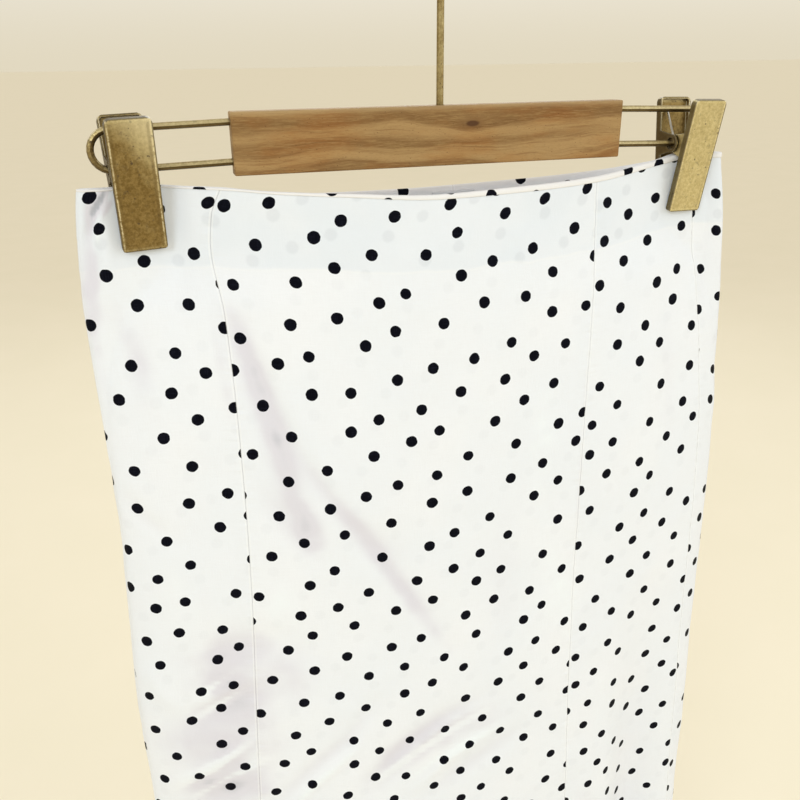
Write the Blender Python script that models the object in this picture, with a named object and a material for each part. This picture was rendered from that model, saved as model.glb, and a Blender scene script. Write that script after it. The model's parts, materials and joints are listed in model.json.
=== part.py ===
"""A mermaid skirt held by its waist on a clip hanger.

Sizes are in millimetres from the centre of the hanger's wooden bar: X runs along the bar to
the viewer's right, Y away from the viewer and Z up. An empty moves everything so that the
origin is the inner top of the hook. Left and right are the viewer's.
"""

import functools
import math

import bmesh
import bpy
import numpy as np
from mathutils import Matrix, Vector

MM = 0.001
GAP = 0.3                # between touching pieces

# Skirt
WAIST_Z = -17.0          # waist seam at the side folds
LENGTH = 760.0           # waist seam to hem
KNEE = 500.0             # drop where the flare begins
CLOTH = 1.2              # wall of a panel
FACING = 1.0             # wall of the facing and of the zip's tape
FACING_DEPTH = 37.0
ROLL = 2.5               # height of the facing's fold above the waist seam
FOLD = 3.0               # half the thickness of the skirt where the clips hold it
SAG_LENGTH = 300.0       # drop over which the waist's sag fades
RING_POINTS = 1440

# The cloth's outer face: x of the side folds, depth of the front and the back past FOLD, the
# share of the half width that bulges, the bulge's power, x of the front princess seams
LEVEL_COLUMNS = ("drop", "left", "right", "front", "back", "reach", "power", "seam_left", "seam_right")
LEVELS = np.array([
    (0, -174.0, 171.0, 14, 19, 0.75, 1.10, -110.5, 87.5),
    (12, -175.8, 173.5, 15, 20, 0.75, 1.10, -115.5, 87.5),
    (30, -177.8, 177.0, 17, 24, 0.76, 1.05, -117.5, 87.3),
    (60, -179.0, 181.0, 20, 36, 0.90, 0.85, -114.5, 86.0),
    (110, -179.0, 186.5, 23, 58, 0.98, 0.62, -113.5, 84.0),
    (165, -179.0, 190.5, 26, 80, 1.00, 0.52, -114.0, 82.6),
    (220, -181.5, 192.5, 28, 88, 1.00, 0.48, -115.5, 82.4),
    (300, -185.3, 195.0, 30, 80, 1.00, 0.47, -119.5, 83.2),
    (400, -185.8, 200.5, 33, 68, 1.00, 0.47, -124.0, 86.5),
    (500, -188.0, 207.0, 38, 62, 1.00, 0.48, -128.0, 91.0),
    (570, -196.0, 216.0, 52, 74, 1.00, 0.50, -134.0, 99.0),
    (640, -216.0, 236.0, 78, 100, 1.00, 0.50, -145.0, 114.0),
    (700, -238.0, 258.0, 102, 126, 1.00, 0.50, -156.0, 130.0),
    (760, -262.0, 282.0, 124, 150, 1.00, 0.50, -166.0, 147.0),
], float)

# How far the waist seam hangs below its side folds
WAIST_COLUMNS = ("x", "front", "back")
WAIST = np.array([
    (-140, 0.8, 0.8),
    (-106, 3.3, 5.0),
    (-86, 5.6, 9.2),
    (-52, 8.4, 12.4),
    (-4, 11.8, 13.8),
    (50, 10.9, 12.4),
    (86, 9.2, 9.8),
    (125, 3.6, 4.6),
    (140, 0.8, 0.8),
], float)

# Flutes, as valleys between soft ridges: share of the way round from the left fold along the
# front, drop where each starts, its depth at the knee and at the hem, its half width as a share
FLUTES = np.array([
    (0.020, 430, 3, 36, 0.040),
    (0.095, 450, 2, 31, 0.036),
    (0.170, 400, 4, 38, 0.040),
    (0.252, 440, 2, 33, 0.040),
    (0.334, 410, 4, 36, 0.040),
    (0.425, 260, 17, 42, 0.044),
    (0.508, 430, 3, 33, 0.038),
    (0.588, 380, 6, 38, 0.040),
    (0.672, 430, 3, 34, 0.040),
    (0.757, 330, 9, 40, 0.042),
    (0.842, 440, 2, 34, 0.040),
    (0.930, 360, 7, 38, 0.042),
], float)

# Seams that keep their share of the way round
SIDE_LEFT = -0.019
SIDE_RIGHT = 0.468
CENTRE_BACK = 0.7245
FOLD_ZONE = 0.0105       # each side of a side fold, where the columns are close

DROPS = (0, 9, 19, 30, 44, 62, 86, 116, 152, 194, 240, 290, 340, 390, 440, 485, 525, 565, 605,
         645, 685, 725, 760)

# Stops along each piece, with the columns from each to the next
PANELS = {
    "front_side_left": (("side_left", 1), ("fold_left_from", 6), ("fold_left_to", 8), ("princess_left", 0)),
    "front_centre": (("princess_left", 22), ("princess_right", 0)),
    "front_side_right": (("princess_right", 10), ("side_right", 0)),
    "back_side_right": (("side_right", 2), ("fold_right_from", 6), ("fold_right_to", 7), ("back_right", 0)),
    "back_centre_right": (("back_right", 11), ("centre_back", 0)),
    "back_centre_left": (("centre_back", 11), ("back_left", 0)),
    "back_side_left": (("back_left", 10), ("side_left_again", 0)),
}
FACINGS = {
    "facing_front": ("front_side_left", "front_centre", "front_side_right"),
    "facing_back_right": ("back_side_right", "back_centre_right"),
    "facing_back_left": ("back_centre_left", "back_side_left"),
}

# Zip
TAPE_WIDTH = 24.0
TAPE_DROPS = (0, 10, 20, 32, 46, 62, 80, 100, 122, 146, 172, 200)
SLIDER_DROP = 9.0
SLIDER = (5.2, 2.0, 9.0)         # width, depth, height
PULL_AXIS = (3.9, 1.5)           # outwards and up from the slider's seat
PULL_BARREL = 1.5
PULL_BORE = 0.8
PIN = 0.55
EAR = (2.2, 3.0)                 # nearest and farthest x of the slider's ears
PULL_THICK = 1.2
PULL_OUTLINE = (                 # down from the axis, half width
    (0.6, 1.9), (2.3, 1.9), (5.0, 2.5), (10.0, 2.9), (17.0, 3.3),
)

# Hanger
BAR = (205.0, 9.0, 28.8)         # length, depth, height
BAR_ROUND = 0.7
BAR_DROP = 110.0                 # hook's inner top down to the bar's centre
STEM_X = 1.4
STEM_RADIUS = 1.9
HOOK_RADIUS = 20.0               # to the wire's centre
HOOK_BEND = 12.0
HOOK_TIP = 195.0                 # degrees, from +X over the top
ROD_RADIUS = 1.65
ROD_HIGH = 9.8
ROD_LOW = -8.2
ROD_DROOP = math.radians(1.6)
ROD_BEND_X = 156.5
BORE_DEPTH = 14.0

# Clips
CLIP_X = {"left": -148.9, "right": 146.8}
CLIP_TWIST = {"left": math.radians(7.0), "right": math.radians(5.0)}
TWIST_HALF = (11.0, 26.0)        # the cloth follows the twist so far from the clip, and fades out
TWIST_DROPS = (34.0, 90.0)
PLATE = (20.6, 60.2)             # width, length
PLATE_TOP = 23.9                 # above the pivot
PLATE_DEPTH = 3.4
PLATE_SHEET = 1.0
PLATE_CORNERS = (2.4, 1.4)        # top and bottom
SPLAY = math.radians(9.0)
EAR_RADIUS = 4.8
EAR_FOOT = (-8.0, 6.5)           # where an ear's edges leave the plate
EAR_HOLE = 3.2                   # loose, as the clip can turn a little on its rod
FRONT_EAR_X = 8.3                # middle of the sheet
BACK_EAR_X = 9.8
SPRING_WIRE = 0.6
SPRING_RADIUS = 3.2
SPRING_HALF = 4.6
SPRING_TURNS = 3.5
SPRING_LEG = 17.0


def material(name, colour, roughness, metallic=0.0):
    made = bpy.data.materials.new(name)
    made.use_nodes = True
    shader = made.node_tree.nodes["Principled BSDF"]
    shader.inputs["Base Color"].default_value = (*colour, 1.0)
    shader.inputs["Roughness"].default_value = roughness
    shader.inputs["Metallic"].default_value = metallic
    return made


def collection(name):
    made = bpy.data.collections.new(name)
    bpy.context.scene.collection.children.link(made)
    return made


def empty(name, parent, matrix):
    made = bpy.data.objects.new(name, None)
    made.matrix_basis = matrix
    made.parent = parent
    PARTS.objects.link(made)
    return made


def mesh_object(name, shape, parent, finish=None, helper=False):
    """An object from a bmesh in millimetres, with its faces turned outwards."""
    bmesh.ops.recalc_face_normals(shape, faces=shape.faces)
    bmesh.ops.scale(shape, vec=(MM, MM, MM), verts=shape.verts)
    mesh = bpy.data.meshes.new(name)
    shape.to_mesh(mesh)
    shape.free()
    made = bpy.data.objects.new(name, mesh)
    made.parent = parent
    (HELPERS if helper else PARTS).objects.link(made)
    if helper:
        made.hide_render = True
        made.display_type = "WIRE"
    else:
        mesh.materials.append(finish)
        mesh.shade_smooth()
        mesh.set_sharp_from_angle(angle=math.radians(40))
    return made


def combine(target, other, operation):
    step = target.modifiers.new(operation.lower(), "BOOLEAN")
    step.operation = operation
    step.object = other


def box(low, high, bevel=0.0):
    shape = bmesh.new()
    bmesh.ops.create_cube(shape, size=1.0)
    size = Vector(high) - Vector(low)
    bmesh.ops.scale(shape, vec=size, verts=shape.verts)
    bmesh.ops.translate(shape, vec=(Vector(high) + Vector(low)) / 2, verts=shape.verts)
    if bevel:
        bmesh.ops.bevel(shape, geom=shape.edges[:], offset=bevel, segments=2, profile=0.5, affect="EDGES")
    return shape


def cylinder(radius, low, high, axis="X", sides=20, centre=(0.0, 0.0, 0.0)):
    """A cylinder along X or Z from low to high past centre."""
    shape = bmesh.new()
    bmesh.ops.create_cone(shape, cap_ends=True, segments=sides, radius1=radius, radius2=radius, depth=high - low)
    bmesh.ops.translate(shape, vec=(0, 0, (low + high) / 2), verts=shape.verts)
    if axis == "X":
        bmesh.ops.rotate(shape, matrix=Matrix.Rotation(math.radians(90), 3, "Y"), verts=shape.verts)
    bmesh.ops.translate(shape, vec=centre, verts=shape.verts)
    return shape


def prism(outline, low, high, turn=None):
    """A flat outline in X and Z, extruded along Y from low to high. turn rotates it after."""
    shape = bmesh.new()
    face = shape.faces.new([shape.verts.new((x, low, z)) for x, z in outline])
    grown = bmesh.ops.extrude_face_region(shape, geom=[face])
    moved = [part for part in grown["geom"] if isinstance(part, bmesh.types.BMVert)]
    bmesh.ops.translate(shape, vec=(0, high - low, 0), verts=moved)
    if turn is not None:
        bmesh.ops.transform(shape, matrix=turn, verts=shape.verts)
    return shape


def arc(centre, radius, first, last, count):
    """Points on an arc, with the angles in degrees."""
    angles = np.radians(np.linspace(first, last, count))
    return [(centre[0] + radius * math.cos(a), centre[1] + radius * math.sin(a)) for a in angles]


def wire(name, points, radius, parent, finish, sides=2):
    """A round wire through points, as a curve with filled caps."""
    data = bpy.data.curves.new(name, "CURVE")
    data.dimensions = "3D"
    data.bevel_depth = radius * MM
    data.bevel_resolution = sides
    data.use_fill_caps = True
    spline = data.splines.new("POLY")
    spline.points.add(len(points) - 1)
    for target, place in zip(spline.points, points):
        target.co = (*(Vector(place) * MM), 1.0)
    made = bpy.data.objects.new(name, data)
    made.parent = parent
    data.materials.append(finish)
    PARTS.objects.link(made)
    return made


def curve(at, places, values):
    """A smooth curve through a table's values that never overshoots them."""
    at = np.clip(at, places[0], places[-1])
    rise = np.diff(values) / np.diff(places)
    before, after = rise[:-1], rise[1:]
    same_way = before * after > 0
    inner = np.where(same_way, 2 * before * after / np.where(same_way, before + after, 1.0), 0.0)
    slopes = np.concatenate([rise[:1], inner, rise[-1:]])
    index = np.clip(np.searchsorted(places, at, side="right") - 1, 0, len(places) - 2)
    width = places[index + 1] - places[index]
    t = (at - places[index]) / width
    ends = values[index] * (1 + 2 * t) * (1 - t) ** 2 + values[index + 1] * t**2 * (3 - 2 * t)
    return ends + width * (slopes[index] * t * (1 - t) ** 2 - slopes[index + 1] * t**2 * (1 - t))


def level(drop, column):
    return curve(max(drop, 0.0), LEVELS[:, 0], LEVELS[:, LEVEL_COLUMNS.index(column)])


def waist_sag(x, back, drop):
    front_sag = curve(x, WAIST[:, 0], WAIST[:, WAIST_COLUMNS.index("front")])
    back_sag = curve(x, WAIST[:, 0], WAIST[:, WAIST_COLUMNS.index("back")])
    return np.where(back, back_sag, front_sag) * math.exp(-max(drop, 0.0) / SAG_LENGTH)


def ease(value, first, last):
    """0 up to first, 1 from last on, and smooth between."""
    t = np.clip((value - first) / (last - first), 0.0, 1.0)
    return t * t * (3 - 2 * t)


def clip_twist(x, drop):
    """How far back the cloth is turned by the clips that hold it."""
    moved = np.zeros_like(x)
    for side, clip_x in CLIP_X.items():
        away = x - clip_x
        moved += away * math.tan(CLIP_TWIST[side]) * (1 - ease(np.abs(away), *TWIST_HALF))
    return moved * (1 - ease(drop, *TWIST_DROPS))


def flute_depth(share, drop):
    """How far the flutes draw the cloth in, at shares of the way round."""
    drawn = np.zeros_like(share)
    for middle, start, knee, hem, half_width in FLUTES:
        depth = curve(drop, np.array([start, KNEE, LENGTH]), np.array([0.0, knee, hem]))
        away = np.abs((share - middle + 0.5) % 1.0 - 0.5) / half_width
        drawn += depth * np.where(away < 1, np.cos(away * math.pi / 2) ** 2, 0.0)
    return drawn


@functools.lru_cache(maxsize=None)
def ring(drop):
    """The cloth's outer face at one drop, counted from the left fold along the front: shares
    of the way round, the plain x there, the points, and millimetres per share, front and back."""
    row = {column: level(drop, column) for column in LEVEL_COLUMNS}
    angle = np.linspace(0, 2 * math.pi, RING_POINTS + 1)
    across = -np.cos(angle)
    back = angle > math.pi
    half = (row["right"] - row["left"]) / 2
    x = (row["right"] + row["left"]) / 2 + half * across
    from_fold = half * (1 - np.abs(across))
    edge = FOLD * np.sqrt(1 - np.clip(1 - from_fold / FOLD, 0, 1) ** 2)
    bulge = np.clip(1 - (across / row["reach"]) ** 2, 0, None) ** row["power"]
    y = np.where(back, 1, -1) * (edge + np.where(back, row["back"], row["front"]) * bulge)

    run = np.concatenate([[0], np.cumsum(np.hypot(np.diff(x), np.diff(y)))])
    front_run = run[RING_POINTS // 2]
    back_run = run[-1] - front_run
    share = np.where(back, 0.5 + 0.5 * (run - front_run) / back_run, 0.5 * run / front_run)

    along = np.gradient(np.stack([x, y]), axis=1)
    along /= np.linalg.norm(along, axis=0)
    drawn = flute_depth(share, drop)
    points = np.stack([
        x - along[1] * drawn,
        y + along[0] * drawn + clip_twist(x, drop),
        WAIST_Z - drop - waist_sag(x, back, drop),
    ], axis=1)
    points[-1] = points[0]
    return share, x, points, (2 * front_run, 2 * back_run)


def point(drop, shares):
    share, _, points, _ = ring(float(drop))
    return np.stack([np.interp(np.mod(shares, 1.0), share, points[:, axis]) for axis in range(3)], axis=-1)


def normal(drop, shares):
    """Unit vectors out of the cloth."""
    along = point(drop, shares + 0.001) - point(drop, shares - 0.001)
    down = point(drop + 1.0, shares) - point(drop - 1.0, shares)
    out = np.cross(down, along)
    return out / np.linalg.norm(out, axis=-1, keepdims=True)


def line(drop, name):
    """Share of the way round where a named line crosses this drop."""
    share, x, _, _ = ring(float(drop))
    front = slice(0, RING_POINTS // 2 + 1)
    princess = [np.interp(level(drop, side), x[front], share[front]) for side in ("seam_left", "seam_right")]
    half_centre = (princess[1] - princess[0]) / 2
    return {
        "side_left": SIDE_LEFT,
        "fold_left_from": -FOLD_ZONE,
        "fold_left_to": FOLD_ZONE,
        "princess_left": princess[0],
        "princess_right": princess[1],
        "side_right": SIDE_RIGHT,
        "fold_right_from": 0.5 - FOLD_ZONE,
        "fold_right_to": 0.5 + FOLD_ZONE,
        "back_right": CENTRE_BACK - half_centre,
        "centre_back": CENTRE_BACK,
        "back_left": CENTRE_BACK + half_centre,
        "side_left_again": SIDE_LEFT + 1.0,
    }[name]


def per_share(drop, share):
    return ring(float(drop))[3][int(share % 1.0 > 0.5)]


def stations(drop, stops):
    """Shares of a piece's columns, held half a gap back from the seams at its ends."""
    shares = [
        np.linspace(line(drop, name), line(drop, after), columns, endpoint=False)
        for (name, columns), (after, _) in zip(stops, stops[1:])
    ]
    shares = np.concatenate([*shares, [line(drop, stops[-1][0])]])
    shares[0] += GAP / 2 / per_share(drop, shares[0])
    shares[-1] -= GAP / 2 / per_share(drop, shares[-1])
    return shares


def wall(rows_out, rows_in):
    """A closed wall between two grids of points of the same size."""
    shape = bmesh.new()
    outer = [[shape.verts.new(place) for place in row] for row in rows_out]
    inner = [[shape.verts.new(place) for place in row] for row in rows_in]
    rows, columns = len(outer), len(outer[0])
    for grid, flip in ((outer, False), (inner, True)):
        for r in range(rows - 1):
            for c in range(columns - 1):
                corners = [grid[r][c], grid[r + 1][c], grid[r + 1][c + 1], grid[r][c + 1]]
                shape.faces.new(corners[::-1] if flip else corners)
    for r in range(rows - 1):
        for c, flip in ((0, True), (columns - 1, False)):
            corners = [outer[r][c], outer[r + 1][c], inner[r + 1][c], inner[r][c]]
            shape.faces.new(corners[::-1] if flip else corners)
    for c in range(columns - 1):
        for r, flip in ((0, False), (rows - 1, True)):
            corners = [outer[r][c], outer[r][c + 1], inner[r][c + 1], inner[r][c]]
            shape.faces.new(corners[::-1] if flip else corners)
    return shape


def panel(name, stops):
    rows_out, rows_in = [], []
    for drop in DROPS:
        shares = stations(drop, stops)
        places, out = point(drop, shares), normal(drop, shares)
        rows_out.append(places)
        rows_in.append(places - out * CLOTH)
    return mesh_object(name, wall(rows_out, rows_in), ROOT, COTTON)


def facing(name, pieces):
    """A strip inside the waist that is turned over the seam: its section, as drop and depth
    into the cloth, is swept along the waist."""
    stops = [stop for piece in pieces for stop in PANELS[piece][:-1]] + [PANELS[pieces[-1]][-1]]
    inside = CLOTH + GAP
    thick = inside + FACING
    down = [drop for drop in DROPS if 0 < drop < FACING_DEPTH] + [FACING_DEPTH]
    section = [(-GAP, 0.0), (-ROLL + 0.6, 0.0), (-ROLL, 0.6), (-ROLL, thick - 0.6), (-ROLL + 0.6, thick)]
    section += [(drop, thick) for drop in down]
    section += [(drop, inside) for drop in reversed(down)] + [(-GAP, inside)]
    shape = bmesh.new()
    loops = []
    for drop, depth in section:
        shares = stations(max(drop, 0.0), stops)
        places = point(drop, shares) - normal(drop, shares) * depth
        loops.append([shape.verts.new(place) for place in places])
    for first, second in zip(loops, loops[1:] + loops[:1]):
        for c in range(len(first) - 1):
            shape.faces.new((first[c], first[c + 1], second[c + 1], second[c]))
    for end in (0, -1):
        shape.faces.new([loop[end] for loop in loops])
    return mesh_object(name, shape, ROOT, COTTON)


def zip_tape():
    rows_out, rows_in = [], []
    behind = CLOTH + FACING + 2 * GAP
    for drop in TAPE_DROPS:
        half = TAPE_WIDTH / 2 / per_share(drop, CENTRE_BACK)
        shares = CENTRE_BACK + np.linspace(-half, half, 5)
        places, out = point(drop, shares), normal(drop, shares)
        rows_out.append(places - out * behind)
        rows_in.append(places - out * (behind + FACING))
    mesh_object("zip_tape", wall(rows_out, rows_in), ROOT, TAPE)


def zip_seat():
    """Frame of the slider on the centre back seam: X across, Y out of the cloth, Z up it."""
    share = np.array([CENTRE_BACK])
    out = Vector(normal(SLIDER_DROP, share)[0])
    up = Vector((point(SLIDER_DROP - 1, share) - point(SLIDER_DROP + 1, share))[0])
    across = out.cross(up).normalized()
    up = across.cross(out)
    seat = Vector(point(SLIDER_DROP, share)[0]) + out * GAP
    turn = Matrix((across, out, up)).transposed().to_4x4()
    return Matrix.Translation(seat * MM) @ turn


def zip_slider(seat):
    out, up = PULL_AXIS
    width, depth, height = SLIDER
    body = mesh_object(
        "zip_slider", box((-width / 2, 0, -height / 2), (width / 2, depth, height / 2), 0.5), seat, STEEL
    )
    for side in (-1, 1):
        near, far = sorted((side * EAR[0], side * EAR[1]))
        ear = box((near, depth - 0.6, up - 1.1), (far, out + 1.0, up + 1.1))
        combine(body, mesh_object(f"ear_cutter_{near:.0f}", ear, seat, helper=True), "UNION")
    pin = cylinder(PIN, -EAR[1] + 0.2, EAR[1] - 0.2, centre=(0, out, up), sides=12)
    combine(body, mesh_object("pin_cutter", pin, seat, helper=True), "UNION")


def zip_pull(seat):
    """A small tab that hangs from the slider's pin. Its own origin is on the pin's axis."""
    out, up = PULL_AXIS
    axis = empty("zip_pull_axis", seat, Matrix.Translation(Vector((0, out, up)) * MM))
    right = [(half, -down) for down, half in PULL_OUTLINE]
    low, wide = PULL_OUTLINE[-1]
    end = arc((0, -low), wide, 0, -180, 9)[1:-1]
    left = [(-half, -down) for down, half in reversed(PULL_OUTLINE)]
    tab = mesh_object("zip_pull", prism(right + end + left, -PULL_THICK / 2, PULL_THICK / 2), axis, STEEL)
    barrel = cylinder(PULL_BARREL, -EAR[0] + GAP, EAR[0] - GAP, sides=16)
    combine(tab, mesh_object("barrel_cutter", barrel, axis, helper=True), "UNION")
    bore = cylinder(PULL_BORE, -EAR[0], EAR[0], sides=16)
    combine(tab, mesh_object("bore_cutter", bore, axis, helper=True), "DIFFERENCE")


def rod_z(x, height):
    return height - math.tan(ROD_DROOP) * (abs(x) - BAR[0] / 2)


def bar():
    half = Vector(BAR) / 2
    made = mesh_object("bar", box(-half, half, BAR_ROUND), ROOT, WOOD)
    for side in (-1, 1):
        for height in (ROD_HIGH, ROD_LOW):
            reach = sorted((side * (half.x - BORE_DEPTH), side * (half.x + 5)))
            bore = cylinder(ROD_RADIUS + GAP, *reach, centre=(0, 0, height), sides=16)
            cutter = mesh_object(f"rod_bore_{side}_{height:.0f}", bore, ROOT, helper=True)
            combine(made, cutter, "DIFFERENCE")
    bore = cylinder(STEM_RADIUS + GAP, half.z - BORE_DEPTH, half.z + 5, "Z", centre=(STEM_X, 0, 0), sides=16)
    combine(made, mesh_object("stem_bore", bore, ROOT, helper=True), "DIFFERENCE")


def wire_loop(name, side):
    """One wire out of the bar's end, round past the clip and back in below."""
    start = BAR[0] / 2 - BORE_DEPTH + 2
    middle = (ROD_HIGH + ROD_LOW) / 2
    bend = arc((ROD_BEND_X, middle), (ROD_HIGH - ROD_LOW) / 2, 90, -90, 13)
    route = [(start, ROD_HIGH), (BAR[0] / 2 + 1, ROD_HIGH), *bend, (BAR[0] / 2 + 1, ROD_LOW), (start, ROD_LOW)]
    points = [(side * x, 0, z if x < BAR[0] / 2 + 2 else rod_z(x, z)) for x, z in route]
    wire(name, points, ROD_RADIUS, ROOT, BRASS)


def hook():
    """The stem rises, bends to the right and goes over the top, all in the bar's plane."""
    top = BAR_DROP + STEM_RADIUS - HOOK_RADIUS
    bend_low = top - math.sqrt(HOOK_RADIUS**2 + 2 * HOOK_RADIUS * HOOK_BEND)
    meet = math.degrees(math.atan2(top - bend_low, -HOOK_BEND))
    bend = arc((STEM_X + HOOK_BEND, bend_low), HOOK_BEND, 180, meet, 8)
    over = arc((STEM_X, top), HOOK_RADIUS, meet - 180, HOOK_TIP, 26)[1:]
    route = [(STEM_X, BAR[2] / 2 - BORE_DEPTH + 2), *bend, *over]
    wire("hook", [(x, 0, z) for x, z in route], STEM_RADIUS, ROOT, BRASS)


def rounded_plate(grow, low, high, turn):
    """A rounded rectangle the size of a clip's plate, grown all round, from depth low to high."""
    width, length = PLATE
    half = width / 2 + grow
    top, bottom = PLATE_TOP + grow, PLATE_TOP - length - grow
    high_round, low_round = (radius + grow for radius in PLATE_CORNERS)
    corners = (
        ((half - high_round, top - high_round), high_round, 0),
        ((-half + high_round, top - high_round), high_round, 90),
        ((-half + low_round, bottom + low_round), low_round, 180),
        ((half - low_round, bottom + low_round), low_round, 270),
    )
    outline = [place for centre, radius, first in corners for place in arc(centre, radius, first, first + 90, 3)]
    return prism(outline, low, high, turn)


def ear(x, side, seat_y):
    """A tab of the plate's sheet round the rod, from the plate's face to past the rod."""
    far = arc((0, 0), EAR_RADIUS, -100, 100, 9)
    low, high = ((PLATE_SHEET / 2 - seat_y - math.tan(SPLAY) * z, z) for z in EAR_FOOT)
    outline = [low, *far, high]
    shape = bmesh.new()
    corners = [shape.verts.new((x - PLATE_SHEET / 2, -side * y, z)) for y, z in outline]
    grown = bmesh.ops.extrude_face_region(shape, geom=[shape.faces.new(corners)])
    moved = [part for part in grown["geom"] if isinstance(part, bmesh.types.BMVert)]
    bmesh.ops.translate(shape, vec=(PLATE_SHEET, 0, 0), verts=moved)
    return shape


def clip_plate(name, seat, side, ear_x):
    """A shallow tray that leans away from the cloth, with two ears on the rod. side is -1 for
    the front plate and 1 for the back one."""
    bottom = PLATE_TOP - PLATE[1]
    jaw = FOLD + GAP + PLATE_DEPTH
    lean = Matrix.Rotation(-side * SPLAY, 4, "X")
    turn = Matrix.Translation((0, side * jaw, bottom)) @ lean @ Matrix.Translation((0, 0, -bottom))
    face, open_side = sorted((0.0, -side * PLATE_DEPTH))
    plate = mesh_object(name, rounded_plate(0, face, open_side, turn), seat, BRASS)
    inner, past = sorted((-side * PLATE_SHEET, -side * (PLATE_DEPTH + 3)))
    hollow = rounded_plate(-PLATE_SHEET, inner, past, turn)
    combine(plate, mesh_object(name + "_hollow", hollow, seat, helper=True), "DIFFERENCE")
    seat_y = jaw + math.tan(SPLAY) * -bottom
    for x in (-ear_x, ear_x):
        cutter = mesh_object(f"{name}_ear_{x:.0f}", ear(x, side, seat_y), seat, helper=True)
        combine(plate, cutter, "UNION")
    hole = cylinder(EAR_HOLE, -PLATE[0], PLATE[0], sides=16)
    combine(plate, mesh_object(name + "_hole", hole, seat, helper=True), "DIFFERENCE")


def clip_spring(name, seat):
    """A coil round the rod whose legs hold the plates' tops apart."""
    angles = np.radians(np.linspace(180, 180 + 360 * SPRING_TURNS, int(SPRING_TURNS * 10) + 1))
    run = np.linspace(SPRING_HALF, -SPRING_HALF, len(angles))
    coil = [(x, SPRING_RADIUS * math.cos(a), SPRING_RADIUS * math.sin(a)) for x, a in zip(run, angles)]
    bottom = PLATE_TOP - PLATE[1]
    plate_y = FOLD + GAP + PLATE_DEPTH + math.tan(SPLAY) * (SPRING_LEG - bottom)
    leg_y = plate_y - (PLATE_SHEET + SPRING_WIRE + GAP) / math.cos(SPLAY)
    front = (SPRING_HALF, -leg_y, SPRING_LEG)
    back = (-SPRING_HALF, leg_y, SPRING_LEG)
    wire(name, [front, *coil, back], SPRING_WIRE, seat, STEEL, sides=1)


def clip(side):
    x = CLIP_X[side]
    lean = Matrix.Rotation(math.copysign(ROD_DROOP, x), 4, "Y") @ Matrix.Rotation(CLIP_TWIST[side], 4, "Z")
    place = Matrix.Translation(Vector((x, 0, rod_z(x, ROD_LOW))) * MM)
    seat = empty(f"clip_{side}", ROOT, place @ lean)
    clip_plate(f"clip_{side}_front_plate", seat, -1, FRONT_EAR_X)
    clip_plate(f"clip_{side}_back_plate", seat, 1, BACK_EAR_X)
    clip_spring(f"clip_{side}_spring", seat)


for old in list(bpy.data.objects):
    bpy.data.objects.remove(old)

PARTS = collection("mermaid_skirt_on_clip_hanger")
HELPERS = collection("cutters")
COTTON = material("dotted_cloth", (0.86, 0.86, 0.88), 0.75)
TAPE = material("zip_tape", (0.80, 0.80, 0.82), 0.8)
WOOD = material("wood", (0.48, 0.27, 0.12), 0.55)
BRASS = material("antique_brass", (0.45, 0.33, 0.13), 0.38, 1.0)
STEEL = material("bright_steel", (0.62, 0.62, 0.64), 0.3, 1.0)
ROOT = empty("hook_origin", None, Matrix.Translation(Vector((-STEM_X, 0, -BAR_DROP)) * MM))

for panel_name, panel_stops in PANELS.items():
    panel(panel_name, panel_stops)
for facing_name, facing_pieces in FACINGS.items():
    facing(facing_name, facing_pieces)
zip_tape()
ZIP = empty("zip_seat", ROOT, zip_seat())
zip_slider(ZIP)
zip_pull(ZIP)
bar()
wire_loop("wire_loop_left", -1)
wire_loop("wire_loop_right", 1)
hook()
clip("left")
clip("right")
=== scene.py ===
"""Looks for a mermaid skirt on a clip hanger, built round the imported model.

The cloth's shape is worked out in millimetres from the centre of the hanger's bar, with the same
tables as the part's source, and world() turns it into metres in the row's frame. A place on the
cloth is a drop below the waist seam and a share of the way round, counted from the left fold
along the front. Left and right are the viewer's.
"""

import functools
import json
import math

import bpy
import numpy as np
from mathutils import Matrix, Vector

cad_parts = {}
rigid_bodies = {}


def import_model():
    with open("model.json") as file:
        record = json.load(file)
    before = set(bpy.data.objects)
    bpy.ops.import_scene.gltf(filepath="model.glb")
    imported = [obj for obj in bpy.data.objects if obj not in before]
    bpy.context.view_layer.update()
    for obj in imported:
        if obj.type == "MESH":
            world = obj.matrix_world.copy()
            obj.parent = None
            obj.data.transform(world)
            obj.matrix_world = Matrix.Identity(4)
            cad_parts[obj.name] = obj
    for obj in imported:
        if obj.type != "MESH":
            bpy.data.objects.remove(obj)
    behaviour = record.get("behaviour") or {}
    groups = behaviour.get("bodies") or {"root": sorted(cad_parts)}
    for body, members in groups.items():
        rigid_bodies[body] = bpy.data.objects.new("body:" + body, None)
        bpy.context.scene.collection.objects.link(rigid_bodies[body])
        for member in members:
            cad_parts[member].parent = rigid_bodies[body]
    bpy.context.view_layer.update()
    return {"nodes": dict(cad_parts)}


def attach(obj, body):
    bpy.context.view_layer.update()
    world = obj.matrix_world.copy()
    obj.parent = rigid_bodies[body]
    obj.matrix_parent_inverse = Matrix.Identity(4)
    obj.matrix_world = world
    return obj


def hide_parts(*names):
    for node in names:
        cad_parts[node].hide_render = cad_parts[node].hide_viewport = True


MM = 0.001
BODY = "skirt_and_hanger"
BAR_DROP = 110.0
STEM_X = 1.4

# Camera, fitted to the photograph
CAMERA_AT = (-0.14736, -0.40668, -0.07131)
CAMERA_YAW, CAMERA_PITCH, CAMERA_ROLL = -17.07, 23.01, -0.66
CAMERA_LENS = 36.83
FLOOR_Z = -0.96

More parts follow.
